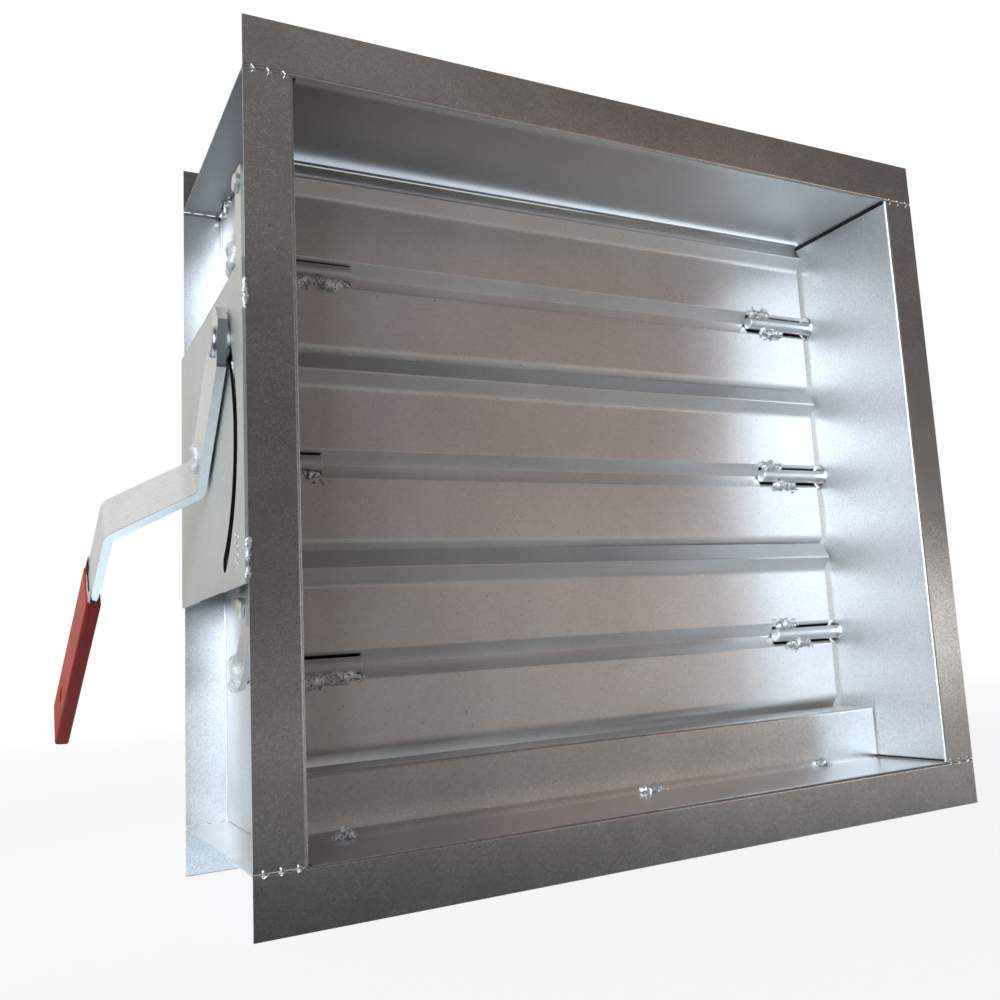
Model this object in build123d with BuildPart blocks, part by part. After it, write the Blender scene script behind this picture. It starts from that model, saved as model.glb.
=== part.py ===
from build123d import *
import os
from math import cos, radians, sin

# Volume control damper: a galvanised casing folded from four channels, three parallel
# blades on stub axles, a crank and tie bar linkage, and a hand lever that locks in a slot.
# Millimetres. X runs across the duct, Y along the air flow, Z up. The origin is the
# centre of the duct opening at half the casing's depth. The blades are shut as modelled.

# Casing: four folded channels around the duct opening
duct_width = 530.0
duct_height = 500.0
case_depth = 250.0
case_sheet = 1.2
side_flange = 32.0
end_flange = 37.0
bend_radius = 1.5
corner_gap = 0.3

# Blades: folded sheet with a ridge at each long edge and a groove along the middle
blade_count = 3
blade_pitch = 150.0
blade_width = 169.0
blade_sheet = 1.2
blade_end_gap = 4.0
blade_head_gap = 0.8
ridge_height = 8.0
ridge_from_edge = 13.5
ridge_base = 25.0
ridge_base_radius = 10.0
groove_angle = 37.0
blade_bend_radius = 1.6

# Stub axles, welded into the groove at both ends of every blade
axle_diameter = 12.0
axle_inboard = 71.0
drive_inboard = 45.0
axle_outboard = 14.0
axle_chamfer = 0.6
seat_gap = 0.02

# Bushes in the side webs
bush_flange_diameter = 24.0
bush_flange_thickness = 2.0
bush_barrel_diameter = 17.0
bush_barrel_length = 7.0
bush_lip_height = 0.7
bush_lip_length = 2.0
running_clearance = 0.06
hole_clearance = 0.15

# Bottom stop: an angle standing on the bottom web
stop_height = 45.0
stop_depth = 45.0
stop_setback = 80.4
stop_sheet = 1.2
stop_end_gap = 1.6

# Quadrant plate across the left recess, with the arc slot of the locking bolt
plate_thickness = 2.0
plate_above_axle = 107.0
plate_below_axle = 97.0
plate_axle_hole = 15.0
slot_radius = 99.0
slot_width = 13.0
slot_half_angle = 53.0

# Hand lever: flat bar welded to the drive axle, joggled outward to the grip
lever_closed_angle = 41.0
lever_width = 38.0
lever_thickness = 6.0
lever_gap = 2.0
lever_tip = 117.0
lever_tip_cut = 25.0
lever_tip_corner = 5.0
lever_tail = 17.0
lever_joggle = 69.0
lever_joggle_angle = 54.0
lever_handle = 217.0
lever_handle_lean = 5.0
lever_bend_radius = 5.0
hang_hole_diameter = 12.0
hang_hole_inset = 32.0

# Grip: a dipped sleeve over the lower end of the lever
grip_length = 152.0
grip_wall = 2.0
grip_end_wall = 3.0
grip_round = 2.4
grip_clearance = 0.05

# Locking bolt through the lever and the slot
bolt_diameter = 10.0
bolt_head_diameter = 21.0
bolt_head_height = 3.2
bolt_end = 2.0
washer_diameter = 24.0
washer_thickness = 2.0
nut_width = 17.0
nut_height = 8.0
slide_gap = 0.3

# Linkage in the left recess: a crank on every axle and one tie bar
crank_radius = 60.0
crank_angle = 45.0
crank_width = 25.0
crank_thickness = 4.0
crank_standoff = 3.4
tie_width = 20.0
tie_thickness = 4.0
tie_end = 12.0
pin_diameter = 8.0
pin_head_diameter = 14.0
pin_head_height = 3.0
pin_tail_height = 1.0
pin_clearance = 0.1

# Weld beads
bead_radius = 3.4
stub_bead_length = 24.0
tack_radius = 3.6
tack_height = 1.3
tack_pitch = 9.0
foot_bead_radius = 3.2
foot_bead_length = 12.0
ring_bead_width = 3.0

# Positions that follow from the sizes above
outer_half_width = duct_width / 2 + side_flange
axle_radius = axle_diameter / 2
blade_length = duct_width - 2 * blade_end_gap
top_axle_z = duct_height / 2 - blade_head_gap - blade_width / 2
axle_heights = [top_axle_z - row * blade_pitch for row in range(blade_count)]
row_names = ["top", "middle", "bottom"]
drive_row = 1
drive_z = axle_heights[drive_row]
web_outside = duct_width / 2 + case_sheet
bush_hole_radius = bush_barrel_diameter / 2 + hole_clearance
bush_bore_radius = axle_radius + running_clearance
crank_inside = web_outside + bush_barrel_length + crank_standoff
crank_outside = crank_inside + crank_thickness
tie_inside = crank_outside + slide_gap
tie_outside = tie_inside + tie_thickness
plate_inside = outer_half_width
plate_outside = plate_inside + plate_thickness
lever_inside = plate_outside + lever_gap
lever_outside = lever_inside + lever_thickness
lever_cos = cos(radians(lever_closed_angle))
lever_sin = sin(radians(lever_closed_angle))
crank_cos = cos(radians(crank_angle))
crank_sin = sin(radians(crank_angle))
groove_cos = cos(radians(groove_angle))
groove_sin = sin(radians(groove_angle))
groove_depth = (axle_radius + seat_gap + blade_sheet / 2) / groove_cos
groove_half = groove_depth * groove_cos / groove_sin

os.makedirs("parts", exist_ok=True)


def save(piece, name):
    """Label a finished piece and write its STEP file."""
    piece.part.label = name
    export_step(piece.part, f"parts/{name}.step")


def across(x, z=0.0):
    """Plane square to the duct's width at x: sketch x is Y, sketch y is Z above height z."""
    return Plane(origin=(x, 0, z), x_dir=(0, 1, 0), z_dir=(1, 0, 0))


def outward(side, x, z=0.0):
    """Plane at distance x from the middle whose normal points away from it on that side."""
    return Plane(origin=(side * x, 0, z), x_dir=(0, side, 0), z_dir=(side, 0, 0))


def fold_channel(plane, length, flange):
    """Fold a strip into a channel: web against the duct, flanges turned outward."""
    reach = case_depth / 2 - case_sheet / 2
    with BuildPart() as channel:
        with BuildSketch(plane):
            with BuildLine():
                FilletPolyline(
                    (-reach, flange),
                    (-reach, case_sheet / 2),
                    (reach, case_sheet / 2),
                    (reach, flange),
                    radius=bend_radius + case_sheet / 2,
                )
            trace(line_width=case_sheet)
        extrude(amount=length)
    return channel


# Top and bottom channels run the full width over the ends of the side channels.
for side, name in ((1, "channel_top"), (-1, "channel_bottom")):
    seat = Plane(
        origin=(-outer_half_width, 0, side * duct_height / 2),
        x_dir=(0, side, 0),
        z_dir=(1, 0, 0),
    )
    save(fold_channel(seat, 2 * outer_half_width, end_flange), name)

# Side channels stand between them, bored for the bushes.
for side, name in ((-1, "channel_left"), (1, "channel_right")):
    foot = Plane(
        origin=(side * duct_width / 2, 0, -duct_height / 2 + corner_gap),
        x_dir=(0, -side, 0),
        z_dir=(0, 0, 1),
    )
    folded = fold_channel(foot, duct_height - 2 * corner_gap, side_flange)
    with BuildPart() as channel:
        add(folded.part)
        with BuildSketch(outward(side, duct_width / 2 - case_sheet)):
            with Locations(*[(0, z) for z in axle_heights]):
                Circle(bush_hole_radius)
        extrude(amount=3 * case_sheet, mode=Mode.SUBTRACT)
    save(channel, name)

# Corner welds: three small domes along each butt joint of the front and rear flanges. They
# stop at the bend of the top and bottom channels, so that the flange faces stay flat.
dome_radius = (tack_radius**2 + tack_height**2) / (2 * tack_height)
with BuildPart() as corner_welds:
    for face in (-1, 1):
        flange_face = Plane(
            origin=(0, face * case_depth / 2, 0),
            x_dir=(-face, 0, 0),
            z_dir=(0, face, 0),
        )
        joint_middle = duct_width / 2 + side_flange / 2
        joint_height = duct_height / 2 + bend_radius + case_sheet - tack_radius - hole_clearance
        with BuildPart(flange_face, mode=Mode.PRIVATE) as domes:
            with Locations((0, 0, tack_height - dome_radius)):
                with Locations(
                    *[
                        (side * joint_middle + step * tack_pitch, end * joint_height, 0)
                        for side in (-1, 1)
                        for end in (-1, 1)
                        for step in (-1, 0, 1)
                    ]
                ):
                    Sphere(dome_radius)
            split(bisect_by=flange_face, keep=Keep.TOP)
        add(domes.part)
save(corner_welds, "corner_welds")

# Bottom stop: its upright faces the air flow and its top leg runs back under the blade lip.
stop_front = -case_depth / 2 + stop_setback
with BuildPart() as bottom_stop:
    with BuildSketch(across(-duct_width / 2 + stop_end_gap, -duct_height / 2)):
        with BuildLine():
            FilletPolyline(
                (stop_front + stop_sheet / 2, 0),
                (stop_front + stop_sheet / 2, stop_height - stop_sheet / 2),
                (stop_front + stop_depth, stop_height - stop_sheet / 2),
                radius=bend_radius + stop_sheet / 2,
            )
        trace(line_width=stop_sheet)
    extrude(amount=duct_width - 2 * stop_end_gap)
save(bottom_stop, "bottom_stop")

# Foot welds: three quarter round beads where the upright meets the bottom web.
with BuildPart() as stop_welds:
    for share in (-0.42, 0.04, 0.37):
        with BuildSketch(across(share * duct_width - foot_bead_length / 2, -duct_height / 2)):
            with Locations((stop_front, 0)):
                Circle(foot_bead_radius)
                Rectangle(
                    foot_bead_radius,
                    foot_bead_radius,
                    align=(Align.MAX, Align.MIN),
                    mode=Mode.INTERSECT,
                )
        extrude(amount=foot_bead_length)
save(stop_welds, "stop_welds")

# Bushes: flange on the duct side, barrel through the web and a lip that snaps behind it.
for side, hand in ((-1, "left"), (1, "right")):
    for row, z in zip(row_names, axle_heights):
        with BuildPart() as bush:
            with BuildSketch(Plane(origin=(side * duct_width / 2, 0, z), x_dir=(side, 0, 0), z_dir=(0, -side, 0))):
                with BuildLine():
                    Polyline(
                        (-bush_flange_thickness, bush_bore_radius),
                        (-bush_flange_thickness, bush_flange_diameter / 2 - bush_flange_thickness / 2),
                        (-bush_flange_thickness / 2, bush_flange_diameter / 2),
                        (0, bush_flange_diameter / 2),
                        (0, bush_barrel_diameter / 2),
                        (case_sheet + hole_clearance, bush_barrel_diameter / 2),
                        (case_sheet + hole_clearance, bush_barrel_diameter / 2 + bush_lip_height),
                        (case_sheet + bush_lip_length, bush_barrel_diameter / 2),
                        (case_sheet + bush_barrel_length, bush_barrel_diameter / 2),
                        (case_sheet + bush_barrel_length, bush_bore_radius),
                        close=True,
                    )
                make_face()
            revolve(axis=Axis((0, 0, z), (1, 0, 0)))
        save(bush, f"bush_{hand}_{row}")


def blade_centreline():
    """Fold line of a blade: ridges point to opposite faces, the groove takes the axle."""
    half = blade_width / 2
    ridge_radii = [blade_bend_radius, ridge_base_radius]
    groove_radii = 3 * [blade_bend_radius]
    return FilletPolyline(
        (0, half),
        (-ridge_height, half - ridge_from_edge),
        (0, half - ridge_base),
        (0, groove_half),
        (groove_depth, 0),
        (0, -groove_half),
        (0, ridge_base - half),
        (ridge_height, ridge_from_edge - half),
        (0, -half),
        radius=ridge_radii + groove_radii + ridge_radii[::-1],
    )


# Blades and everything welded to them
for row, z in zip(row_names, axle_heights):
    with BuildPart() as blade:
        with BuildSketch(across(-blade_length / 2, z)):
            with BuildLine():
                blade_centreline()
            trace(line_width=blade_sheet)
        extrude(amount=blade_length)
    save(blade, f"blade_{row}")

# Stub axles: the left ones reach the cranks, the drive axle goes on through the lever.
for row, z in zip(row_names, axle_heights):
    driven = row == row_names[drive_row]
    left_end = lever_outside if driven else crank_outside
    left_inboard = drive_inboard if driven else axle_inboard
    for side, hand, inboard, end in (
        (-1, "left", left_inboard, left_end),
        (1, "right", axle_inboard, web_outside + bush_barrel_length + axle_outboard),
    ):
        start = duct_width / 2 - inboard
        with BuildPart() as axle:
            with BuildSketch(outward(side, start, z)):
                Circle(axle_radius)
            extrude(amount=end - start)
            chamfer(axle.edges().filter_by(GeomType.CIRCLE), length=axle_chamfer)
        save(axle, f"axle_{hand}_{row}")


def bead_section(edge):
    """Fillet of weld metal between an axle and the rim of the groove above or below it."""
    with BuildSketch() as section:
        with Locations((-blade_sheet, edge * (axle_radius + groove_half) / 2)):
            Circle(bead_radius)
        Circle(axle_radius, mode=Mode.SUBTRACT)
        with BuildLine():
            blade_centreline()
        trace(line_width=blade_sheet, mode=Mode.SUBTRACT)
    return section.faces().sort_by(Axis.X)[0]


# Stub welds: one bead above each axle at its inner end and one below it near the web.
for row, z in zip(row_names, axle_heights):
    driven = row == row_names[drive_row]
    with BuildPart() as blade_welds:
        for side in (-1, 1):
            inboard = drive_inboard if driven and side < 0 else axle_inboard
            start = duct_width / 2 - inboard
            for edge, reach in ((1, start + axle_chamfer), (-1, duct_width / 2 - stub_bead_length - 2 * blade_end_gap)):
                centre = side * (reach + stub_bead_length / 2)
                with BuildSketch(across(centre - stub_bead_length / 2, z)):
                    add(bead_section(edge))
                extrude(amount=stub_bead_length)
    save(blade_welds, f"blade_welds_{row}")

# Cranks: flat arms leaning forward like the lever, drilled for the axle and the link pin.
for row, z in zip(row_names, axle_heights):
    pin_spot = (-crank_radius * crank_cos, crank_radius * crank_sin)
    with BuildPart() as crank:
        with BuildSketch(Plane(origin=(-crank_outside, 0, z), x_dir=(0, 1, 0), z_dir=(1, 0, 0))):
            with Locations(Location((pin_spot[0] / 2, pin_spot[1] / 2), -crank_angle)):
                SlotCenterToCenter(crank_radius, crank_width)
            Circle(axle_radius + seat_gap, mode=Mode.SUBTRACT)
            with Locations(pin_spot):
                Circle(pin_diameter / 2 + seat_gap, mode=Mode.SUBTRACT)
        extrude(amount=crank_thickness)
    save(crank, f"crank_{row}")

    # Link pin: headed outside the tie bar, riveted over inside the crank.
    with BuildPart() as link_pin:
        pin_start = crank_inside - pin_tail_height
        with BuildSketch(outward(-1, pin_start, z)):
            with Locations((-pin_spot[0], pin_spot[1])):
                Circle(pin_diameter / 2 + pin_tail_height)
        extrude(amount=pin_tail_height)
        with BuildSketch(outward(-1, crank_inside, z)):
            with Locations((-pin_spot[0], pin_spot[1])):
                Circle(pin_diameter / 2)
        extrude(amount=tie_outside + slide_gap - crank_inside)
        with BuildSketch(outward(-1, tie_outside + slide_gap, z)):
            with Locations((-pin_spot[0], pin_spot[1])):
                Circle(pin_head_diameter / 2)
        extrude(amount=pin_head_height)
        chamfer(link_pin.faces().sort_by(Axis.X)[0].edges(), length=pin_head_height / 3)
    save(link_pin, f"link_pin_{row}")


def ring_bead(face_x, z):
    """Weld ring around an axle where it comes out of a flat bar."""
    with BuildPart() as ring:
        with BuildSketch(Plane(origin=(-face_x, 0, z), x_dir=(-1, 0, 0), z_dir=(0, 1, 0))):
            with Locations((0, -axle_radius + axle_chamfer)):
                Circle(ring_bead_width)
                Rectangle(
                    ring_bead_width,
                    ring_bead_width,
                    align=(Align.MIN, Align.MAX),
                    mode=Mode.INTERSECT,
                )
        revolve(axis=Axis((0, 0, z), (1, 0, 0)))
    return ring


for row, z in zip(row_names, axle_heights):
    if row != row_names[drive_row]:
        save(ring_bead(crank_outside, z), f"crank_weld_{row}")

# Tie bar: joins the three pins, so that the blades turn together.
with BuildPart() as tie_bar:
    pin_y = -crank_radius * crank_cos
    pin_lift = crank_radius * crank_sin
    tie_span = axle_heights[0] - axle_heights[-1]
    with BuildSketch(outward(-1, tie_inside, drive_z + pin_lift)):
        with Locations((-pin_y, (axle_heights[0] + axle_heights[-1]) / 2 - drive_z)):
            RectangleRounded(tie_width, tie_span + 2 * tie_end, tie_width / 4)
        with Locations(*[(-pin_y, z - drive_z) for z in axle_heights]):
            Circle(pin_diameter / 2 + pin_clearance, mode=Mode.SUBTRACT)
    extrude(amount=tie_thickness)
save(tie_bar, "tie_bar")

# Quadrant plate: lies on the edges of both side flanges and carries the arc slot.
slot_line = CenterArc((0, 0), slot_radius, -slot_half_angle, 2 * slot_half_angle)
with BuildPart() as quadrant_plate:
    with BuildSketch(outward(-1, plate_inside, drive_z)):
        with Locations((0, (plate_above_axle - plate_below_axle) / 2)):
            Rectangle(case_depth, plate_above_axle + plate_below_axle)
        Circle(plate_axle_hole / 2, mode=Mode.SUBTRACT)
        SlotArc(slot_line, slot_width, mode=Mode.SUBTRACT)
    extrude(amount=plate_thickness)
save(quadrant_plate, "quadrant_plate")

# Plate welds: short beads outside the flanges, against the plate's front and rear edges.
with BuildPart() as plate_welds:
    for face in (-1, 1):
        flange_face = Plane(
            origin=(0, face * case_depth / 2, drive_z),
            x_dir=(-face, 0, 0),
            z_dir=(0, face, 0),
        )
        with BuildPart(flange_face, mode=Mode.PRIVATE) as domes:
            with Locations(
                *[
                    (face * (plate_inside - tack_radius / 2), share, tack_height - dome_radius)
                    for share in (plate_above_axle - tack_pitch, 0, tack_pitch - plate_below_axle)
                ]
            ):
                Sphere(dome_radius)
            split(bisect_by=flange_face, keep=Keep.TOP)
        add(domes.part)
save(plate_welds, "plate_welds")

# Lever: drawn edge on along its own length, given its width, then both corners of its upper
# end are sheared off, the front one much more than the rear one.
lever_middle = (lever_inside + lever_outside) / 2
lever_plane = Plane(
    origin=(-lever_middle, 0, drive_z),
    x_dir=(0, lever_cos, -lever_sin),
    z_dir=(0, lever_sin, lever_cos),
)
joggle_run = lever_joggle * cos(radians(lever_joggle_angle))
joggle_out = lever_joggle * sin(radians(lever_joggle_angle))
handle_run = lever_handle * cos(radians(lever_handle_lean))
handle_out = lever_handle * sin(radians(lever_handle_lean))
lever_line = [
    (-lever_tip, 0),
    (lever_tail, 0),
    (lever_tail + joggle_run, joggle_out),
    (lever_tail + joggle_run + handle_run, joggle_out + handle_out),
]
handle_plane = Plane(
    origin=lever_plane.from_local_coords((*lever_line[3], 0)),
    x_dir=lever_plane.from_local_coords((*lever_line[2], 0)) - lever_plane.from_local_coords((*lever_line[3], 0)),
    z_dir=lever_plane.z_dir,
)
hang_plane = Plane(origin=handle_plane.origin, x_dir=handle_plane.x_dir, z_dir=handle_plane.y_dir)
with BuildPart() as lever:
    with BuildSketch(lever_plane):
        with BuildLine():
            FilletPolyline(*lever_line, radius=lever_bend_radius + lever_thickness / 2)
        trace(line_width=lever_thickness)
    extrude(amount=lever_width / 2, both=True)
    with BuildSketch(Plane(lever_plane.origin, x_dir=lever_plane.x_dir, z_dir=lever_plane.y_dir)):
        with BuildLine():
            Polyline(
                (-lever_tip, 0),
                (-lever_tip, lever_width / 2),
                (lever_tip_cut - lever_tip, lever_width / 2),
                close=True,
            )
        make_face()
        with BuildLine():
            Polyline(
                (-lever_tip, lever_tip_corner - lever_width / 2),
                (-lever_tip, -lever_width / 2),
                (lever_tip_corner - lever_tip, -lever_width / 2),
                close=True,
            )
        make_face()
    extrude(amount=lever_thickness, both=True, mode=Mode.SUBTRACT)
    with BuildSketch(outward(-1, lever_inside, drive_z)):
        Circle(axle_radius + seat_gap)
        with Locations((slot_radius * lever_cos, slot_radius * lever_sin)):
            Circle(bolt_diameter / 2 + seat_gap)
    extrude(amount=lever_thickness, mode=Mode.SUBTRACT)
    with BuildSketch(hang_plane):
        with Locations((hang_hole_inset, 0)):
            Circle(hang_hole_diameter / 2)
    extrude(amount=lever_thickness, both=True, mode=Mode.SUBTRACT)
save(lever, "lever")
save(ring_bead(lever_outside, drive_z), "lever_weld")

# Grip: closed at the lower end, open where the bar enters, pierced at the hanging hole.
with BuildPart() as grip:
    with BuildSketch(handle_plane):
        with Locations(((grip_length - grip_end_wall) / 2, 0)):
            Rectangle(grip_length + grip_end_wall, lever_thickness + 2 * grip_wall)
    extrude(amount=lever_width / 2 + grip_wall, both=True)
    fillet(grip.edges().filter_by(Axis(handle_plane.origin, handle_plane.x_dir)), radius=grip_round)
    with BuildSketch(handle_plane):
        with Locations((grip_length / 2, 0)):
            Rectangle(grip_length, lever_thickness + 2 * grip_clearance)
    extrude(amount=lever_width / 2 + grip_clearance, both=True, mode=Mode.SUBTRACT)
    with BuildSketch(hang_plane):
        with Locations((hang_hole_inset, 0)):
            Circle(hang_hole_diameter / 2)
    extrude(amount=lever_thickness + grip_wall, both=True, mode=Mode.SUBTRACT)
save(grip, "grip")

# Locking bolt: mushroom head outside the lever, shank through the slot, nut behind the plate.
bolt_spot = (slot_radius * lever_cos, slot_radius * lever_sin)
washer_start = plate_inside - slide_gap - washer_thickness
nut_start = washer_start - nut_height
with BuildPart() as lock_bolt:
    with BuildSketch(outward(-1, nut_start - bolt_end, drive_z)):
        with Locations(bolt_spot):
            Circle(bolt_diameter / 2)
    extrude(amount=lever_outside - nut_start + bolt_end)
    with BuildSketch(outward(-1, lever_outside, drive_z)):
        with Locations(bolt_spot):
            Circle(bolt_head_diameter / 2)
    extrude(amount=bolt_head_height)
    fillet(lock_bolt.faces().sort_by(Axis.X)[0].edges(), radius=bolt_head_height * 0.8)
save(lock_bolt, "lock_bolt")

# Washers: one behind the plate under the nut, one between the plate and the lever.
for start, thickness, name in (
    (washer_start, washer_thickness, "washer_inner"),
    (plate_outside + slide_gap, lever_gap - slide_gap, "washer_outer"),
):
    with BuildPart() as washer:
        with BuildSketch(outward(-1, start, drive_z)):
            with Locations(bolt_spot):
                Circle(washer_diameter / 2)
                Circle(bolt_diameter / 2 + seat_gap, mode=Mode.SUBTRACT)
        extrude(amount=thickness)
    save(washer, name)

with BuildPart() as lock_nut:
    with BuildSketch(outward(-1, nut_start, drive_z)):
        with Locations(bolt_spot):
            RegularPolygon(nut_width / 2, 6, major_radius=False)
            Circle(bolt_diameter / 2 + seat_gap, mode=Mode.SUBTRACT)
    extrude(amount=nut_height)
save(lock_nut, "lock_nut")
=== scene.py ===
import math

import bpy
import numpy as np
from mathutils import Matrix, Vector


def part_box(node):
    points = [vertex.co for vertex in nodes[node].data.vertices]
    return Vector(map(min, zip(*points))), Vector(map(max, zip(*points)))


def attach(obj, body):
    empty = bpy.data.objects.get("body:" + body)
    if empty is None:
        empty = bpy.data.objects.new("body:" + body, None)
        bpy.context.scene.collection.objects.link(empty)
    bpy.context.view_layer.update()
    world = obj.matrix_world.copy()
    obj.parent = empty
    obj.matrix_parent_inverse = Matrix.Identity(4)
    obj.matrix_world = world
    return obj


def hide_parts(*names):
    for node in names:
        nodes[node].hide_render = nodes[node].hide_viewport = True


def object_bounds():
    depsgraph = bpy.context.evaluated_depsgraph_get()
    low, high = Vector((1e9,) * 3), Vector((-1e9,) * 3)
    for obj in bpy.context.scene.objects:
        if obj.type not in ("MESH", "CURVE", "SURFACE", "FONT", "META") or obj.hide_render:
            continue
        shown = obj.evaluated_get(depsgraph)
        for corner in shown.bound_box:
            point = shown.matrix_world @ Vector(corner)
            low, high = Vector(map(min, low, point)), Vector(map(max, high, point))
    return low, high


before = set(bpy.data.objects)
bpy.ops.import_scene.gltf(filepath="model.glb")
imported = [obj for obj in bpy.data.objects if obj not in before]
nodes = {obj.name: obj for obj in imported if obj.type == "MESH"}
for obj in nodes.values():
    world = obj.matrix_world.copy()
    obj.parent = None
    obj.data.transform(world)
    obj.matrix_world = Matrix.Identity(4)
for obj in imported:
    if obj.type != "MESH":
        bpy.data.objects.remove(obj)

cad_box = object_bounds()

# Viewpoint: low and left of the damper, looking up into its front. The lens is shifted a
# little, so that the casing fills the frame to the right of the line of sight.
eye = Vector((-0.42657, -0.78262, -0.13234))
turn, tilt, roll = -0.5412, 0.1519, 0.0675
heading = Matrix.Rotation(turn, 3, "Z") @ Matrix.Rotation(tilt, 3, "X") @ Matrix.Rotation(roll, 3, "Y")
viewpoint = bpy.data.objects.new("viewpoint", bpy.data.cameras.new("viewpoint"))
viewpoint.data.sensor_width = 36
viewpoint.data.lens = 38.088
viewpoint.data.shift_x, viewpoint.data.shift_y = -0.125, -0.020
viewpoint.matrix_world = Matrix.Translation(eye) @ (heading @ Matrix.Rotation(math.pi / 2, 3, "X")).to_4x4()
bpy.context.scene.collection.objects.link(viewpoint)
bpy.context.scene.camera = viewpoint
bpy.context.scene.view_settings.view_transform = "Standard"


# The studio: a pale floor that the casing stands on, daylight from a wide opening at the
# left, and a dim warm room behind the viewer. The camera sees plain white all round.
def shade(tree, kind, inputs=(), **settings):
    """Adds a shader node. inputs maps a socket's name or number to a value or to another node's output."""
    made = tree.nodes.new(kind)
    for name, value in settings.items():
        setattr(made, name, value)
    for socket, value in dict(inputs).items():
        if isinstance(value, bpy.types.NodeSocket):
            tree.links.new(value, made.inputs[socket])
        else:
            made.inputs[socket].default_value = value
    return made


def along_way(tree, place, way):
    """How far a place or a ray reaches along the vector way."""
    return shade(tree, "ShaderNodeVectorMath", {0: place, 1: way}, operation="DOT_PRODUCT").outputs["Value"]


def room_light(world):
    """White to the camera. To every other ray its colour turns from a dim room to daylight:
    lean = how far the ray points to the opening, lift = how far it points up and to the right.
    The dim room grows darker where the lift falls."""
    tree = world.node_tree
    tree.nodes.clear()
    seen = shade(tree, "ShaderNodeLightPath").outputs["Is Camera Ray"]
    ray = shade(tree, "ShaderNodeTexCoord").outputs["Generated"]
    to_opening, up_and_right = (-0.35, 0.93, 0.10), (1.20, 0.0, 0.50)
    lean = along_way(tree, ray, to_opening)
    lift = along_way(tree, ray, up_and_right)
    share = shade(tree, "ShaderNodeMapRange", {0: lean, 1: -1.0, 2: 1.0}).outputs[0]
    tones = shade(tree, "ShaderNodeValToRGB", {0: share})
    tones.color_ramp.elements[0].color = (0.108, 0.095, 0.092, 1)
    tones.color_ramp.elements[0].position = 0.20
    tones.color_ramp.elements[1].color = (0.70, 0.68, 0.655, 1)
    tones.color_ramp.elements[1].position = 0.72
    middle = tones.color_ramp.elements.new(0.45)
    middle.color = (0.055, 0.05, 0.05, 1)
    dim = shade(tree, "ShaderNodeMapRange", {0: lift, 1: 0.12, 2: 0.62, 3: 0.18, 4: 1.12}).outputs[0]
    even = shade(tree, "ShaderNodeMapRange", {0: lean, 1: -0.30, 2: 0.40, 3: dim, 4: 1.15}).outputs[0]
    room = shade(tree, "ShaderNodeBackground", {"Color": tones.outputs[0], "Strength": even})
    white = shade(tree, "ShaderNodeBackground", {"Color": (1, 1, 1, 1), "Strength": 1.0})
    both = shade(tree, "ShaderNodeMixShader", {0: seen, 1: room.outputs[0], 2: white.outputs[0]})
    shade(tree, "ShaderNodeOutputWorld", {"Surface": both.outputs[0]})


bpy.context.scene.world = bpy.data.worlds.new("room")
bpy.context.scene.world.use_nodes = True
room_light(bpy.context.scene.world)


def lamp(name, place, aim, size, watts, colour, spin=0.0):
    """A soft box at place, facing aim and turned by spin about its own line. The camera doesn't see it."""
    light = bpy.data.lights.new(name, "AREA")
    light.shape, light.size, light.size_y = "RECTANGLE", size[0], size[1]
    light.energy, light.color = watts, colour
    box = bpy.data.objects.new(name, light)
    facing = (Vector(aim) - Vector(place)).to_track_quat("-Z", "Y").to_matrix().to_4x4()
    box.matrix_world = Matrix.Translation(place) @ facing @ Matrix.Rotation(spin, 4, "Z")
    box.visible_camera = False
    bpy.context.scene.collection.objects.link(box)


lamp("opening", (-2.1, -2.1, 0.45), (0.1, 0, 0.05), (2.0, 1.9), 95, (0.753, 0.88, 1.0))
lamp("far window", (1.75, -3.0, 0.55), (0.1, 0, 0.1), (1.1, 2.2), 1.9, (1.0, 0.64, 0.48))
lamp("front high", (0.3, -2.6, 1.6), (0, 0, 0), (1.5, 1.0), 0.40, (1.0, 0.95, 0.82))
lamp("front right low", (1.9, -2.0, -0.15), (0, 0, -0.2), (0.8, 0.25), 1.0, (1.0, 0.98, 0.93))
lamp("pale table", (-0.65, 0.28, cad_box[0].z), (-0.65, 0.28, 1), (1.0, 0.8), 2.85, (0.70, 0.85, 1.0))
lamp("sheet glow", (0.0, -0.065, -0.2440), (0.0, -0.065, 1), (0.50, 0.075), 0.012, (1.0, 0.88, 0.82))
gap_middle, gap_size = (0.0, -0.0060, 0.2496), (0.522, 0.0090)
gap_aim = (0.0, -1.0, gap_middle[2])
lamp("daylight over the top blade", gap_middle, gap_aim, gap_size, 0.018, (0.76, 0.86, 1.0), spin=-0.0050)
lamp("rear glow", (0.05, 0.55, 0.05), (0.1, 0, 0.05), (0.6, 0.5), 1.2, (0.80, 0.92, 1.0))

# The floor is paper. Other rays than the camera's find it dim at the left and a warm grey at
# the right; the camera sees it pale, and white from where it is a few metres away.
floor_size = 14.0
floor_z = cad_box[0].z - 0.0005
floor_corners = [(x * floor_size, y * floor_size, floor_z) for x, y in ((-1, -1), (1, -1), (1, 1), (-1, 1))]
floor_mesh = bpy.data.meshes.new("floor")
floor_mesh.from_pydata(floor_corners, [], [(0, 1, 2, 3)])
floor = bpy.data.objects.new("floor", floor_mesh)
bpy.context.scene.collection.objects.link(floor)
floor_finish = bpy.data.materials.new("floor_paper")
floor_finish.use_nodes = True
tree = floor_finish.node_tree
tree.nodes.clear()
seen = shade(tree, "ShaderNodeLightPath").outputs["Is Camera Ray"]
place = shade(tree, "ShaderNodeTexCoord").outputs["Object"]
across = shade(tree, "ShaderNodeSeparateXYZ", {0: place}).outputs[0]
mirrored = shade(tree, "ShaderNodeMapRange", {0: across, 1: -0.4, 2: 0.2, 3: 0.04, 4: 0.48}).outputs[0]
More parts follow.
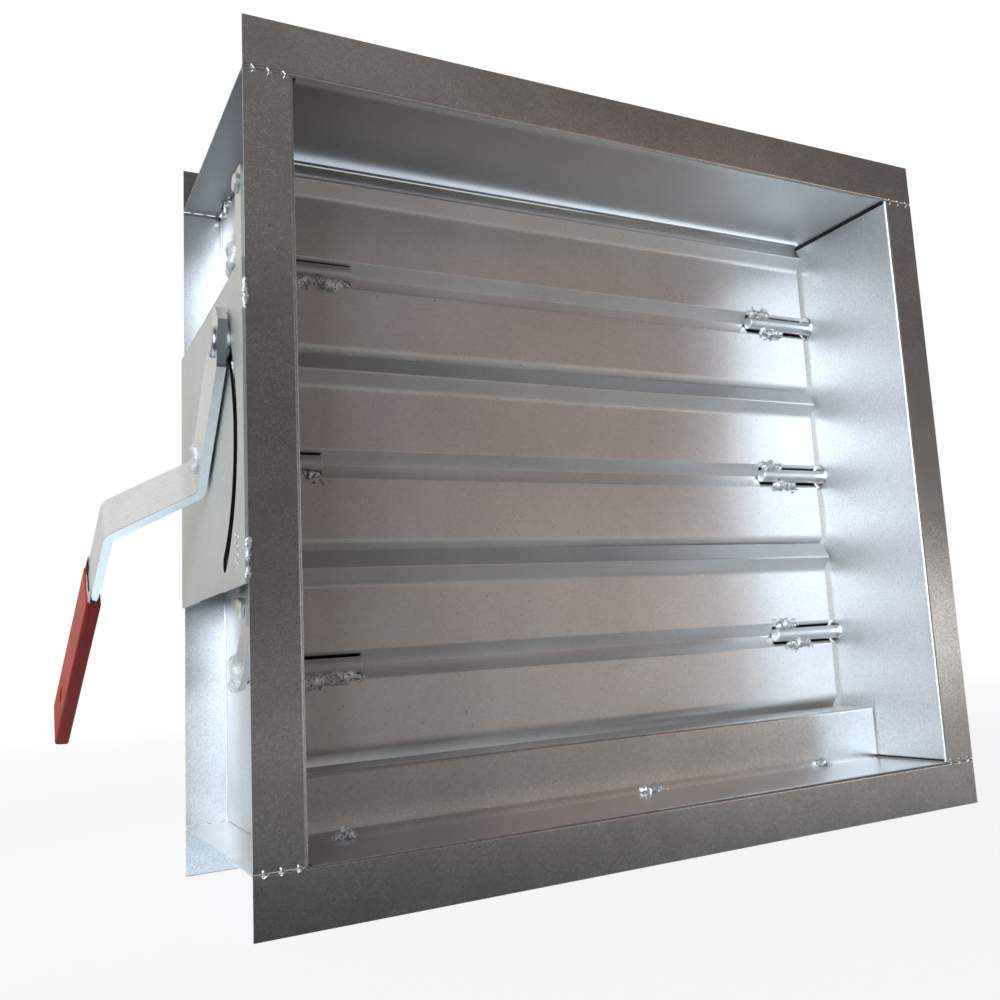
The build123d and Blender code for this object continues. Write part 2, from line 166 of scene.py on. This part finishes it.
tone = shade(tree, "ShaderNodeMapRange", {0: seen, 3: mirrored, 4: 0.80}).outputs[0]
warm = shade(tree, "ShaderNodeMapRange", {0: seen, 3: 0.84, 4: 1.0}).outputs[0]
green = shade(tree, "ShaderNodeMath", {0: warm}, operation="SQRT").outputs[0]
tint = shade(tree, "ShaderNodeCombineXYZ", {0: 1.0, 1: green, 2: warm}).outputs[0]
tint = shade(tree, "ShaderNodeVectorMath", {0: tint, "Scale": tone}, operation="SCALE").outputs[0]
paper = shade(tree, "ShaderNodeBsdfDiffuse", {"Color": tint})
glow = shade(tree, "ShaderNodeEmission", {"Color": (1, 1, 1, 1), "Strength": 1.0})
away = shade(tree, "ShaderNodeVectorMath", {0: place}, operation="LENGTH").outputs["Value"]
white = shade(tree, "ShaderNodeMapRange", {0: away, 1: 0.7, 2: 2.6, 3: 0.86, 4: 1.0}).outputs[0]
share = shade(tree, "ShaderNodeMath", {0: seen, 1: white}, operation="MULTIPLY").outputs[0]
both = shade(tree, "ShaderNodeMixShader", {0: share, 1: paper.outputs[0], 2: glow.outputs[0]})
shade(tree, "ShaderNodeOutputMaterial", {"Surface": both.outputs[0]})
floor_mesh.materials.append(floor_finish)


# Casing: four channels of hot dip galvanised sheet, folded on a brake. The zinc is a dull
# grey with a fine grain, faint clouds, small scuffs and specks of dirt, and painted shade and light on some
# faces.
def ramp(tree, value, start, end, first=0.0, last=1.0):
    """The value mapped from start..end to first..last and held at the ends."""
    return shade(tree, "ShaderNodeMapRange", {0: value, 1: start, 2: end, 3: first, 4: last}).outputs[0]


def calc(tree, operation, one, other=None):
    """One arithmetic step on one or two values."""
    sockets = {0: one} if other is None else {0: one, 1: other}
    return shade(tree, "ShaderNodeMath", sockets, operation=operation).outputs[0]


def noise(tree, place, scale, **more):
    """Fractal noise of the place, 0 to 1."""
    return shade(tree, "ShaderNodeTexNoise", {"Vector": place, "Scale": scale, **more}).outputs[0]


def zinc_sheet(
    name, tone, roughness, metallic=1.0, cloud=0.08, grain=0.09, streak=(1, 1, 1), by_axis=None, cut=None
):
    """Sheet finish. colour = tone times slow clouds times fine grain, with rare dark and pale
    specks where a small noise passes its limit. Roughness and bump follow the same grain.
    by_axis adds to the roughness of the faces square to X, Y and Z. cut, where it is given,
    makes one more factor of the colour from the place."""
    finish = bpy.data.materials.new(name)
    finish.use_nodes = True
    tree = finish.node_tree
    surface = tree.nodes["Principled BSDF"]
    place = shade(tree, "ShaderNodeTexCoord").outputs["Object"]
    stretched = shade(tree, "ShaderNodeMapping", {"Vector": place, "Scale": streak}).outputs[0]
    clouds = noise(tree, stretched, 9.0, Detail=4.0, Roughness=0.6)
    grains = noise(tree, stretched, 620.0, Detail=3.0, Roughness=0.7)
    specks = noise(tree, place, 420.0, Detail=1.0)
    speck = 0.5
    level = calc(
        tree,
        "MULTIPLY",
        ramp(tree, clouds, 0.3, 0.7, 1 - cloud, 1 + cloud),
        ramp(tree, grains, 0.3, 0.7, 1 - grain, 1 + grain),
    )
    level = calc(tree, "MULTIPLY", level, ramp(tree, specks, 0.20, 0.24, 1 - speck, 1.0))
    level = calc(tree, "MULTIPLY", level, ramp(tree, specks, 0.76, 0.80, 1.0, 1 + speck))
    if cut:
        level = calc(tree, "MULTIPLY", level, cut(tree, place))
    colour = shade(tree, "ShaderNodeVectorMath", {0: tone, "Scale": level}, operation="SCALE").outputs[0]
    tree.links.new(colour, surface.inputs["Base Color"])
    rough = ramp(tree, clouds, 0.3, 0.7, roughness - 0.015, roughness + 0.015)
    if by_axis:
        facing = shade(tree, "ShaderNodeNewGeometry").outputs["True Normal"]
        facing = shade(tree, "ShaderNodeVectorMath", {0: facing}, operation="ABSOLUTE").outputs[0]
        rough = calc(tree, "ADD", rough, along_way(tree, facing, by_axis))
    tree.links.new(rough, surface.inputs["Roughness"])
    bump = shade(tree, "ShaderNodeBump", {"Strength": 0.12, "Distance": 0.0004, "Height": grains}).outputs[0]
    tree.links.new(bump, surface.inputs["Normal"])
    surface.inputs["Metallic"].default_value = metallic
    return finish


def dress(finish, *names):
    """Gives CAD nodes one finish."""
    for name in names:
        nodes[name].data.materials.clear()
        nodes[name].data.materials.append(finish)


def seams_scuffs_painted_light_and_shade(tree, place):
    """A factor that is dark in the butt seam at the duct's inner corners, where x and z are both
    within a millimetre of them, painted shadow on the web behind the quadrant plate, painted shade on the
    left of the top web, painted light on the rear flange above the plate, a painted highlight at the stop's
    foot, and pale in small scuffs over the left front flange."""
    def within(*shares):
        """The product of shares that are each 0 outside their range and 1 inside it."""
        level = shares[0]
        for share in shares[1:]:
            level = calc(tree, "MULTIPLY", level, share)
        return level

    def shaded(share, factor):
        """1 where the share is 0, and the factor where it is 1."""
        return ramp(tree, share, 0.0, 1.0, 1.0, factor)

    x, y, z = shade(tree, "ShaderNodeSeparateXYZ", {0: place}).outputs
    wide, deep, high = (calc(tree, "ABSOLUTE", value) for value in (x, y, z))
    seam = within(
        ramp(tree, wide, 0.2624, 0.2630),
        ramp(tree, wide, 0.2652, 0.2650),
        ramp(tree, high, 0.2474, 0.2480),
        ramp(tree, high, 0.2503, 0.2501),
    )
    worn = within(
        ramp(tree, noise(tree, place, 1300.0, Detail=1.0), 0.60, 0.65),
        ramp(tree, noise(tree, place, 38.0, Detail=3.0), 0.48, 0.56),
        ramp(tree, x, -0.20, -0.266, 0.35, 1.0),
        ramp(tree, y, -0.1235, -0.1245),
    )
    # painted highlight: a strip along the stop's foot is made brighter
    stop_foot = within(
        ramp(tree, y, -0.0462, -0.0458),
        ramp(tree, y, -0.0440, -0.0450),
        ramp(tree, z, -0.2470, -0.2480),
    )
    # painted shade: the left of the top web is darkened
    painted_shade_top_web = within(ramp(tree, z, 0.2470, 0.2480), ramp(tree, y, -0.1200, -0.1150), ramp(tree, x, 0.16, -0.27))
    # painted light: the rear flange above the plate is made brighter
    painted_light_rear_flange = within(ramp(tree, y, 0.1180, 0.1200), ramp(tree, x, -0.268, -0.270), ramp(tree, z, 0.02, 0.12))
    # painted shadow: the web behind the quadrant plate is darkened almost to black
    painted_shadow_behind_plate = within(
        ramp(tree, x, -0.2640, -0.2648),
        ramp(tree, deep, 0.118, 0.112),
        ramp(tree, z, -0.070, -0.060),
        ramp(tree, z, 0.105, 0.095),
    )
    return within(
        shaded(seam, 0.06),
        shaded(worn, 4.5),
        shaded(painted_shadow_behind_plate, 0.05),
        shaded(stop_foot, 1.3),
        shaded(painted_shade_top_web, 0.48),
        shaded(painted_light_rear_flange, 1.3),
    )


casing_sheet = zinc_sheet(
    "casing_sheet", (0.76, 0.76, 0.76), 0.45, by_axis=(0.13, -0.20, -0.14), grain=0.15, cut=seams_scuffs_painted_light_and_shade
)
dress(casing_sheet, "channel_top", "channel_bottom", "channel_left", "channel_right")


# Corner welds: three short tacks of brushed weld metal over every butt joint of the flanges,
# and one longer bead in the rear seam at the upper left. Like all welds here they are lumpy
# rings of metal, sunk into the sheets that they join.
def lumpy_bead(path, girth, seed, lumps, rough, rings, sides=14):
    """Closed rings of points round a path. The radius at u along it and v round it is
    girth times (1 - (2u - 1)^6)^(1/2) times (1 + the sum of random round lumps), plus 2% of girth."""
    dice = np.random.default_rng(seed)
    path = np.asarray(path, float)
    steps = np.linspace(0, len(path) - 1, rings)
    line = np.stack([np.interp(steps, np.arange(len(path)), path[:, axis]) for axis in range(3)], 1)
    along = np.gradient(line, axis=0)
    along /= np.linalg.norm(along, axis=1, keepdims=True)
    side = np.cross(along, (0.31, 0.83, 0.46))
    side /= np.linalg.norm(side, axis=1, keepdims=True)
    rise = np.cross(along, side)
    u = np.linspace(0, 1, rings)[:, None, None]
    v = np.linspace(0, 2 * math.pi, sides, endpoint=False)[None, :, None]
    at, turn = dice.uniform(0, 1, lumps), dice.uniform(0, 2 * math.pi, lumps)
    width, height = dice.uniform(0.03, 0.10, lumps), dice.uniform(-0.5, 1.0, lumps) * rough
    swell = (height * np.exp(-(((u - at) / width) ** 2) - (1 - np.cos(v - turn)) * 2.2)).sum(2)
    swell += dice.uniform(-0.16, 0.16, swell.shape) * rough
    radius = girth * np.sqrt(1 - (2 * u[:, :, 0] - 1) ** 6) * (1 + swell) + girth * 0.02
    outward = np.cos(v) * side[:, None, :] + np.sin(v) * rise[:, None, :]
    return line[:, None, :] + radius[:, :, None] * outward


def rings_to_quads(rings, sides, closed=False):
    """Point numbers of the faces between neighbour rings. Closed rings also join last to first."""
    ring, spot = np.meshgrid(np.arange(rings if closed else rings - 1), np.arange(sides), indexing="ij")
    after, upper = (spot + 1) % sides, (ring + 1) % rings
    corners = (ring * sides + spot, ring * sides + after, upper * sides + after, upper * sides + spot)
    return np.stack(corners, -1).reshape(-1, 4)


def add_piece(name, points, faces, finish, body):
    """A smooth shaded mesh of the points and faces, riding on a body."""
    mesh = bpy.data.meshes.new(name)
    mesh.from_pydata(points.tolist(), [], faces)
    mesh.polygons.foreach_set("use_smooth", np.ones(len(faces), bool))
    mesh.materials.append(finish)
    piece = bpy.data.objects.new(name, mesh)
    bpy.context.scene.collection.objects.link(piece)
    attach(piece, body)
    return piece


def shells(name, grids, finish, body, stands_for):
    """One mesh of closed shells. Each grid is rings of points in order; its two poles are the
    middles of its end rings, and the faces are turned outwards by the sign of the volume.
    Points past the CAD box are moved onto it."""
    box_low, box_high = (np.array(corner) for corner in cad_box)
    points, faces, count = [], [], 0
    for grid in grids:
        grid = np.clip(grid, box_low, box_high)
        rings, sides, _ = grid.shape
        quads = rings_to_quads(rings, sides)
        flat = np.vstack([grid.reshape(-1, 3), grid[0].mean(0), grid[-1].mean(0)])
        low, high = rings * sides, rings * sides + 1
        edge = np.arange(sides)
        first = np.stack([np.full(sides, low), (edge + 1) % sides, edge], 1)
        end = (rings - 1) * sides
        last = np.stack([np.full(sides, high), end + edge, end + (edge + 1) % sides], 1)
        a, b, c = (flat[quads[:, k]] - flat.mean(0) for k in range(3))
        outward = np.einsum("ij,ij->i", a, np.cross(b, c)).sum() > 0
        for patch in (quads, first, last):
            faces += ((patch if outward else patch[:, ::-1]) + count).tolist()
        points.append(flat)
        count += len(flat)
    piece = add_piece(name, np.vstack(points), faces, finish, body)
    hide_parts(*stands_for)


def drop(place, size, seed):
    """A drop of weld metal: a lumpy bead as long as it is wide."""
    place, reach = np.asarray(place, float), np.array([size, 0, 0])
    return lumpy_bead([place - reach, place + reach], size, seed, lumps=5, rough=0.5, rings=8, sides=8)


tack_metal = zinc_sheet("tack_metal", (0.70, 0.69, 0.68), 0.34, cloud=0.2, grain=0.3)


def painted_crease_shade(tree, place):
    """Painted shade: a factor that is dark where a small noise is low, standing for the shade in the creases
    between drops of metal.
    """
    return ramp(tree, noise(tree, place, 720.0, Detail=1.0), 0.32, 0.46, 0.12, 1.0)


# The weld metal's colour carries painted crease shade in random dark patches.
weld_metal = zinc_sheet(
    "weld_metal", (0.96, 0.96, 0.96), 0.44, metallic=0.85, cloud=0.05, grain=0.2, cut=painted_crease_shade
)
joint_low, joint_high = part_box("corner_welds")
seam_width, seam_z, flange_face = 0.5620, 0.2502, 0.1250
tack_step, tack_girth = 0.0100, 0.0011
tacks = []
for side in (-1, 1):
    for end in (-1, 1):
        for face in (-1, 1):
            for step in (-1, 0, 1):
                seed = 100 + (side + 2) * 40 + (end + 2) * 12 + (face + 2) * 4 + step
                x = side * (joint_low.x + joint_high.x + seam_width) / 2
                spot = np.array([x + step * tack_step, face * flange_face, end * seam_z])
                bend = np.array([0.0020, 0, -0.0008])
                path = [spot - [0.0004, 0, 0.0030], spot + bend, spot + [-0.0010, 0, 0.0026]]
                tacks.append(lumpy_bead(path, tack_girth, seed, lumps=8, rough=0.7, rings=14, sides=10))
rear_seam = Vector((-0.2668, 0.0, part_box("channel_left")[1].z - 0.0022))
path = [np.array([rear_seam.x, y, rear_seam.z]) for y in (0.118, 0.100, 0.082)]
tacks.append(lumpy_bead(path, 0.0034, 190, lumps=40, rough=0.9, rings=40, sides=16))
shells("corner_tacks", tacks, tack_metal, "casing", ["corner_welds"])


# Bottom stop: an angle of the casing's galvanised sheet, folded on a brake. It stands on the
# bottom web and is held by three short foot welds with a little spatter before them.
dress(casing_sheet, "bottom_stop")
stop_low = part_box("bottom_stop")[0]
foot_welds = ((-0.2220, 0.0150), (0.0215, 0.0190), (0.1960, 0.0150))
feet = []
for index, (x, length) in enumerate(foot_welds):
    heel = np.array([x, stop_low.y - 0.0010, stop_low.z + 0.0022])
    reach = np.array([length / 2, 0, 0])
    feet.append(lumpy_bead([heel - reach, heel + reach], 0.0030, 300 + index, lumps=26, rough=0.7, rings=40))
    dice = np.random.default_rng(320 + index)
    for k in range(7):
        spot = heel + [dice.uniform(-0.012, 0.012), -dice.uniform(0.001, 0.006), -0.0012]
        feet.append(drop(spot, dice.uniform(0.0005, 0.0013), 330 + index * 10 + k))
shells("stop_foot_beads", feet, weld_metal, "casing", ["stop_welds"])

# Blades: three galvanised sheets, each folded to a ridge along both long edges and a groove
# along the middle that takes the stub axles. They are smoother and a little warmer in tone
# than the casing.
rows = ("top", "middle", "bottom")
riders = {"top": "top_blade", "middle": "drive_blade", "bottom": "bottom_blade"}


def painted_blade_light_and_shade(row):
    """Maker of a factor of painted shade and light: dark in a painted slot along each stub axle of a row,
    where the height above or below the axle is near its radius and x lies from the rod's end outwards.
    The folds' slopes are painted a little brighter than the flats, and painted shade darkens the start of
    each ridge, where the normal begins to turn up. The painted slots are dark on the blade's front only."""
    heart = sum(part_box(f"axle_right_{row}"), Vector()) / 2
    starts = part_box(f"axle_left_{row}")[1].x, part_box(f"axle_right_{row}")[0].x

    def factor(tree, place):
        x, _, z = shade(tree, "ShaderNodeSeparateXYZ", {0: place}).outputs
        off = calc(tree, "ABSOLUTE", calc(tree, "SUBTRACT", z, heart.z))
        normal = shade(tree, "ShaderNodeNewGeometry").outputs["True Normal"]
        _, back, up = shade(tree, "ShaderNodeSeparateXYZ", {0: normal}).outputs
        # painted shade: a dark slot along the axle, where no slot is cut
        outer = ramp(tree, off, 0.0078, 0.0090)
        inner = ramp(tree, off, 0.0050, 0.0060, 1.0, 0.0)
        clear = calc(tree, "MAXIMUM", outer, inner)
        clear = calc(tree, "MAXIMUM", clear, ramp(tree, back, -0.1, 0.1))
        past_left = ramp(tree, x, starts[0], starts[0] + 0.002)
        past_right = ramp(tree, x, starts[1] - 0.002, starts[1], 1.0, 0.0)
        clear = calc(tree, "MAXIMUM", clear, calc(tree, "MULTIPLY", past_left, past_right))
        clear = ramp(tree, clear, 0.0, 1.0, 0.03, 1.0)
        # painted shade at the start of each ridge
        painted_ridge_shade = calc(tree, "MULTIPLY", ramp(tree, up, 0.06, 0.10), ramp(tree, up, 0.24, 0.30, 1.0, 0.0))
        painted_ridge_shade = calc(tree, "MULTIPLY", painted_ridge_shade, ramp(tree, off, 0.044, 0.046))
        clear = calc(tree, "MULTIPLY", clear, ramp(tree, painted_ridge_shade, 0.0, 1.0, 1.0, 0.38))
        # painted light: faces that point down are made brighter than faces that point up
        return calc(tree, "MULTIPLY", clear, ramp(tree, up, -0.45, 0.45, 1.24, 1.10))

    return factor


# Each blade's finish carries painted shade beside its axles and at its ridges, and painted light on its
# folds.
for row in rows:
    dress(zinc_sheet(f"blade_sheet_{row}", (0.77, 0.755, 0.75), 0.37, cut=painted_blade_light_and_shade(row)), f"blade_{row}")

# Bushes and stub axles: flanged bushes snapped into the side webs, with a bright finish, and
# six drawn steel rods that turn in them and lie welded in the blades' grooves.
bush_metal = zinc_sheet("bush_metal", (0.86, 0.86, 0.86), 0.28)
axle_steel = zinc_sheet("axle_steel", (0.80, 0.78, 0.78), 0.42, metallic=0.95, streak=(1.0, 6.0, 6.0))
for row in rows:
    for hand in ("left", "right"):
        dress(bush_metal, f"bush_{hand}_{row}")
        dress(axle_steel, f"axle_{hand}_{row}")

# Stub welds: a bead over the inner end of every axle and one under it, of bright weld metal,
# with round drops sitting on the bead and finer spatter beside it.
web_face, groove_edge, bead_girth = 0.2610, 0.0083, 0.0029
drops_per_metre, spatter_per_metre = 190, 500
for index, row in enumerate(rows):
    beads = []
    middle = sum(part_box(f"axle_right_{row}"), Vector()) / 2
    for side, hand in ((-1, "left"), (1, "right")):
        rod_low, rod_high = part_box(f"axle_{hand}_{row}")
        rod_end = abs(rod_high.x if side < 0 else rod_low.x)
        if side > 0:
            reach = min(0.0240, (web_face - rod_end) * 0.62)
            spans = ((1, rod_end + 0.001, reach), (-1, rod_end + 0.0125, 0.0275))
        else:
            spans = ((1, 0.2500, 0.0080), (-1, rod_end + 0.001, 0.2580 - rod_end))
        for edge, start, length in spans:
            seed = 400 + index * 40 + (side + 1) * 10 + edge
            height = middle.z + edge * groove_edge
            ends = [np.array([side * x, -0.0008, height]) for x in (start, start + length)]
            lumps, rings = int(length * 1900), int(length * 2200) + 8
            beads.append(lumpy_bead(ends, bead_girth, seed, lumps=lumps, rough=0.75, rings=rings, sides=16))
            dice = np.random.default_rng(seed)
            for k in range(int(length * drops_per_metre)):
                x = side * (start + (k + dice.uniform(0.2, 0.8)) / drops_per_metre)
                y = -dice.uniform(0.0016, 0.0030)
                spot = np.array([x, y, height + edge * dice.uniform(-0.0006, 0.0022)])
                beads.append(drop(spot, dice.uniform(0.0012, 0.0021), seed * 5 + k))
            for k in range(int(length * spatter_per_metre)):
                x = side * (start + dice.uniform(-0.004, length + 0.004))
                y = -dice.uniform(0.0008, 0.0022)
                spot = np.array([x, y, height + edge * dice.uniform(0.0, 0.0075)])
                beads.append(drop(spot, dice.uniform(0.0004, 0.0013), seed * 7 + k))
    shells(f"stub_beads_{row}", beads, weld_metal, riders[row], [f"blade_welds_{row}"])

# Quadrant plate: a flat zinc coated plate, paler and greener than the casing, with the arc
# slot. Short tacks hold it to the edges of both side flanges.
drive_axis = sum(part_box("axle_left_middle"), Vector()) / 2
plate_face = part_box("quadrant_plate")[0].x
slot_radius = 0.099


def painted_slot_shade(tree, place):
    """A factor of painted shade that is black on the wall of the arc slot: the points behind the plate's
    outer face whose distance from the drive axle is near the slot's radius."""
    axis = (0.0, 0.0, drive_axis.z)
    flat = shade(tree, "ShaderNodeVectorMath", {0: place, 1: axis}, operation="SUBTRACT").outputs[0]
    flat = shade(tree, "ShaderNodeVectorMath", {0: flat, 1: (0.0, 1.0, 1.0)}, operation="MULTIPLY").outputs[0]
    away = shade(tree, "ShaderNodeVectorMath", {0: flat}, operation="LENGTH").outputs["Value"]
    off = calc(tree, "ABSOLUTE", calc(tree, "SUBTRACT", away, slot_radius))
    x = shade(tree, "ShaderNodeSeparateXYZ", {0: place}).outputs[0]
    behind = ramp(tree, x, plate_face + 0.0001, plate_face + 0.0003)
    slot_wall_shade = calc(tree, "MULTIPLY", ramp(tree, off, 0.0085, 0.0075), behind)
    return ramp(tree, slot_wall_shade, 0.0, 1.0, 1.0, 0.03)


# The plate's finish paints the slot's wall black as shade.
plate_sheet = zinc_sheet("plate_sheet", (0.58, 0.59, 0.55), 0.42, metallic=0.8, cut=painted_slot_shade)
dress(plate_sheet, "quadrant_plate")
plate_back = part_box("quadrant_plate")[1].x
front_welds = ((-1, 0.098, 0.022), (-1, -0.062, 0.016), (-1, -0.076, 0.008))
rear_welds = ((1, 0.10, 0.02), (1, 0.01, 0.02), (1, -0.07, 0.02))
tacks = []
for index, (face, z, length) in enumerate(front_welds + rear_welds):
    corner = np.array([plate_back - 0.0002, face * 0.1252, z])
    reach = np.array([0, 0, length / 2])
    path = [corner - reach, corner + reach]
    tacks.append(lumpy_bead(path, 0.0014, 500 + index, lumps=18, rough=0.9, rings=30))
turns = np.arange(10)
zigzag_y, zigzag_z = -0.1005 + 0.0055 * (-1.0) ** turns, -0.0720 + 0.0028 * turns
zigzag = np.stack([np.full(turns.shape, plate_face - 0.0001), zigzag_y, zigzag_z], 1)
tacks.append(lumpy_bead(zigzag, 0.0005, 590, lumps=40, rough=0.8, rings=90, sides=8))
shells("plate_tacks", tacks, weld_metal, "casing", ["plate_welds"])

# Linkage behind the plate: a crank on every axle, one tie bar and three headed pins, of zinc
# coated flat bar. The outer cranks are welded to their axles all round.
bar_steel = zinc_sheet("bar_steel", (0.68, 0.67, 0.63), 0.36, metallic=0.85)
dress(bar_steel, "tie_bar", *(f"{part}_{row}" for part in ("crank", "link_pin") for row in rows))


def collar(x, z, radius, girth, seed):
    """A weld once round an axle: a lumpy bead on a circle of that radius, its ends meeting."""
    angle = np.linspace(0.2, 6.35, 60)
    circle = np.stack([np.full_like(angle, x), radius * np.cos(angle), z + radius * np.sin(angle)], 1)
    return lumpy_bead(circle, girth, seed, lumps=60, rough=0.7, rings=90, sides=12)


bar_weld = zinc_sheet("bar_weld", (0.74, 0.71, 0.68), 0.55, metallic=0.5, cloud=0.1, grain=0.3)
for row in ("top", "bottom"):
    ring_low, ring_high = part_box(f"crank_weld_{row}")
    ring = collar(ring_high.x, (ring_low.z + ring_high.z) / 2, 0.0080, 0.0034, 540 + len(row))
    shells(f"crank_collar_{row}", [ring], bar_weld, riders[row], [f"crank_weld_{row}"])

# Hand lever: a zinc plated flat bar with sheared edges. It is joggled outward and welded
# round the drive axle.
lever_tilt = math.radians(41)
bar_along = np.array([0, math.cos(lever_tilt), -math.sin(lever_tilt)])
bar_across = np.array([0, math.sin(lever_tilt), math.cos(lever_tilt)])
bar_points = np.array([corner.co for corner in nodes["lever"].data.vertices])
lever_edge = (bar_points @ bar_across).min()
lever_end = (bar_points @ bar_along).min()


def painted_lever_light(tree, place):
    """A factor that has a painted highlight on the lever's sheared front edge and end, with a fine dark line
    along the edge, and painted shade on the slanting cut between them. The cut runs from half the
    bar's width at its end to cut_length along its edge. The joggle has a painted highlight too."""
    half_bar, cut_length, joggle_start, joggle_end = 0.019, 0.025, 0.134, 0.178
    across = along_way(tree, place, tuple(bar_across))
    along = along_way(tree, place, tuple(bar_along))
    # painted highlight on the front edge and the end
    edge_highlight = ramp(tree, across, lever_edge + 0.0001, lever_edge + 0.0004, 1.35, 1.0)
    end_highlight = ramp(tree, along, lever_end + 0.0001, lever_end + 0.0004, 1.35, 1.0)
    line_starts = ramp(tree, across, lever_edge + 0.0004, lever_edge + 0.0007, 1.0, 0.6)
    line_ends = ramp(tree, across, lever_edge + 0.0010, lever_edge + 0.0014)
    sides = calc(tree, "MAXIMUM", edge_highlight, end_highlight)
    sides = calc(tree, "MULTIPLY", sides, calc(tree, "MAXIMUM", line_starts, line_ends))
    # painted highlight on the joggle
    joggle = calc(
        tree,
        "MULTIPLY",
        ramp(tree, along, lever_end + joggle_start, lever_end + joggle_start + 0.006),
        ramp(tree, along, lever_end + joggle_end - 0.006, lever_end + joggle_end, 1.0, 0.0),
    )
    sides = calc(tree, "MULTIPLY", sides, ramp(tree, joggle, 0.0, 1.0, 1.0, 1.25))
    # painted shade on the slanting cut
    line = ramp(tree, along, lever_end, lever_end + cut_length, lever_edge + half_bar, lever_edge)
    cut = ramp(tree, calc(tree, "SUBTRACT", across, line), 0.0004, 0.0008, 0.30, 1.0)
    beyond = ramp(tree, along, lever_end + cut_length - 0.0005, lever_end + cut_length)
    return calc(tree, "MULTIPLY", sides, calc(tree, "MAXIMUM", cut, beyond))


lever_steel = zinc_sheet("lever_steel", (0.70, 0.70, 0.68), 0.36, metallic=0.85, cut=painted_lever_light)
dress(lever_steel, "lever")
ring_low, ring_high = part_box("lever_weld")
ring = collar(ring_high.x, (ring_low.z + ring_high.z) / 2, 0.0072, 0.0026, 560)
shells("lever_collar", [ring], bar_weld, "drive_blade", ["lever_weld"])

# Locking bolt with its washers and nut, bright zinc plated. It goes through the lever and
# the slot, and clamps lever and plate between its washers.
fastener_zinc = zinc_sheet("fastener_zinc", (0.58, 0.58, 0.60), 0.30)
dress(fastener_zinc, "lock_bolt", "washer_inner", "washer_outer", "lock_nut")

# Grip: red vinyl, dipped over the lower end of the lever. Its upper rim is torn: a jagged
# edge with a tongue, crumbs of dark old vinyl, and a pale parting ring.
grip_points = np.array([corner.co for corner in nodes["grip"].data.vertices])
grip_front = (grip_points @ bar_across).min()


def painted_grip_side_shade(tree, place):
    """A factor that is darker on the grip's narrow front side, as painted shade, and darker still
    in fine lines along it."""
    across = along_way(tree, place, tuple(bar_across))
    # painted shade on the grip's narrow front side
    side = ramp(tree, across, grip_front + 0.0008, grip_front + 0.0022, 0.38, 1.0)
    drawn_out = shade(tree, "ShaderNodeMapping", {"Vector": place, "Scale": (900.0, 6.0, 6.0)}).outputs[0]
    return calc(tree, "MULTIPLY", side, ramp(tree, noise(tree, drawn_out, 1.0), 0.35, 0.65, 0.88, 1.12))


grip_red = zinc_sheet(
    "grip_red", (0.47, 0.034, 0.018), 0.42, metallic=0.0, cloud=0.18, grain=0.08, cut=painted_grip_side_shade
)
grip_red.node_tree.nodes["Principled BSDF"].inputs["Specular IOR Level"].default_value = 0.12
dress(grip_red, "grip")
bar_out = np.array([-1.0, 0, 0])
handle_rise, handle_run = 0.0189, 0.2161
handle_lean = math.atan2(handle_rise, handle_run)
handle_along = math.cos(handle_lean) * bar_along + math.sin(handle_lean) * bar_out
handle_out = math.cos(handle_lean) * bar_out - math.sin(handle_lean) * bar_along
grip_start = (grip_points @ handle_along).min()
grip_heart = [((grip_points @ way).min() + (grip_points @ way).max()) / 2 for way in (bar_across, handle_out)]


def torn_rim(name, finish, seed, height, jag, half_width, half_thick, tongue, tongue_at, spread):
    """A band round the bar, closed on itself. At the angle v it follows the rounded rectangle
    (half_width times |cos v|^(1/4), half_thick times |sin v|^(1/4)); its upper edge stands height
    plus jag times random teeth above its foot, plus a bell shaped tongue round the angle
    tongue_at. The foot is 1 mm down the grip."""
    foot, points_round, teeth_round = 0.0010, 180, 60
    dice = np.random.default_rng(seed)
    v = np.linspace(0, 2 * math.pi, points_round, endpoint=False)
    curl = [np.sign(np.cos(v)) * np.abs(np.cos(v)) ** 0.25, np.sign(np.sin(v)) * np.abs(np.sin(v)) ** 0.25]
    spots = np.linspace(0, 2 * math.pi, teeth_round)
    teeth = np.interp(v, spots, dice.uniform(0, 1, teeth_round), period=2 * math.pi)
    top = height + jag * teeth ** 1.5 + tongue * np.exp(-(((v - tongue_at) / spread) ** 2))
    levels = ((0.0, 0.0), (0.3, 0.2), (0.3, 0.8), (0.0, 1.0), (-0.4, 0.7), (-0.4, 0.1))
    loops = []
    for swell, rise in levels:
        across = grip_heart[0] + curl[0] * (half_width + swell * 0.001)
        out = grip_heart[1] + curl[1] * (half_thick + swell * 0.001)
        along = grip_start + foot - rise * top
        loops.append(across[:, None] * bar_across + out[:, None] * handle_out + along[:, None] * handle_along)
    grid = np.stack(loops)
    quads = rings_to_quads(len(levels), points_round, closed=True)
    piece = add_piece(name, grid.reshape(-1, 3), quads.tolist(), finish, "drive_blade")


old_vinyl = zinc_sheet("old_vinyl", (0.022, 0.014, 0.016), 0.6, metallic=0.0, cloud=0.4, grain=0.4)
pale_vinyl = zinc_sheet("pale_vinyl", (0.55, 0.42, 0.42), 0.5, metallic=0.0, cloud=0.2, grain=0.2)
torn_rim("grip_torn_rim", grip_red, 71, 0.0020, 0.0034, 0.0203, 0.0043, 0.0120, 0.60, 0.45)
torn_rim("grip_parting_ring", pale_vinyl, 72, 0.0026, 0.0006, 0.0199, 0.0039, 0.0130, 2.2, 0.5)
torn_rim("grip_old_vinyl", old_vinyl, 74, 0.0010, 0.0110, 0.0197, 0.0036, 0.0030, math.pi, 0.30)
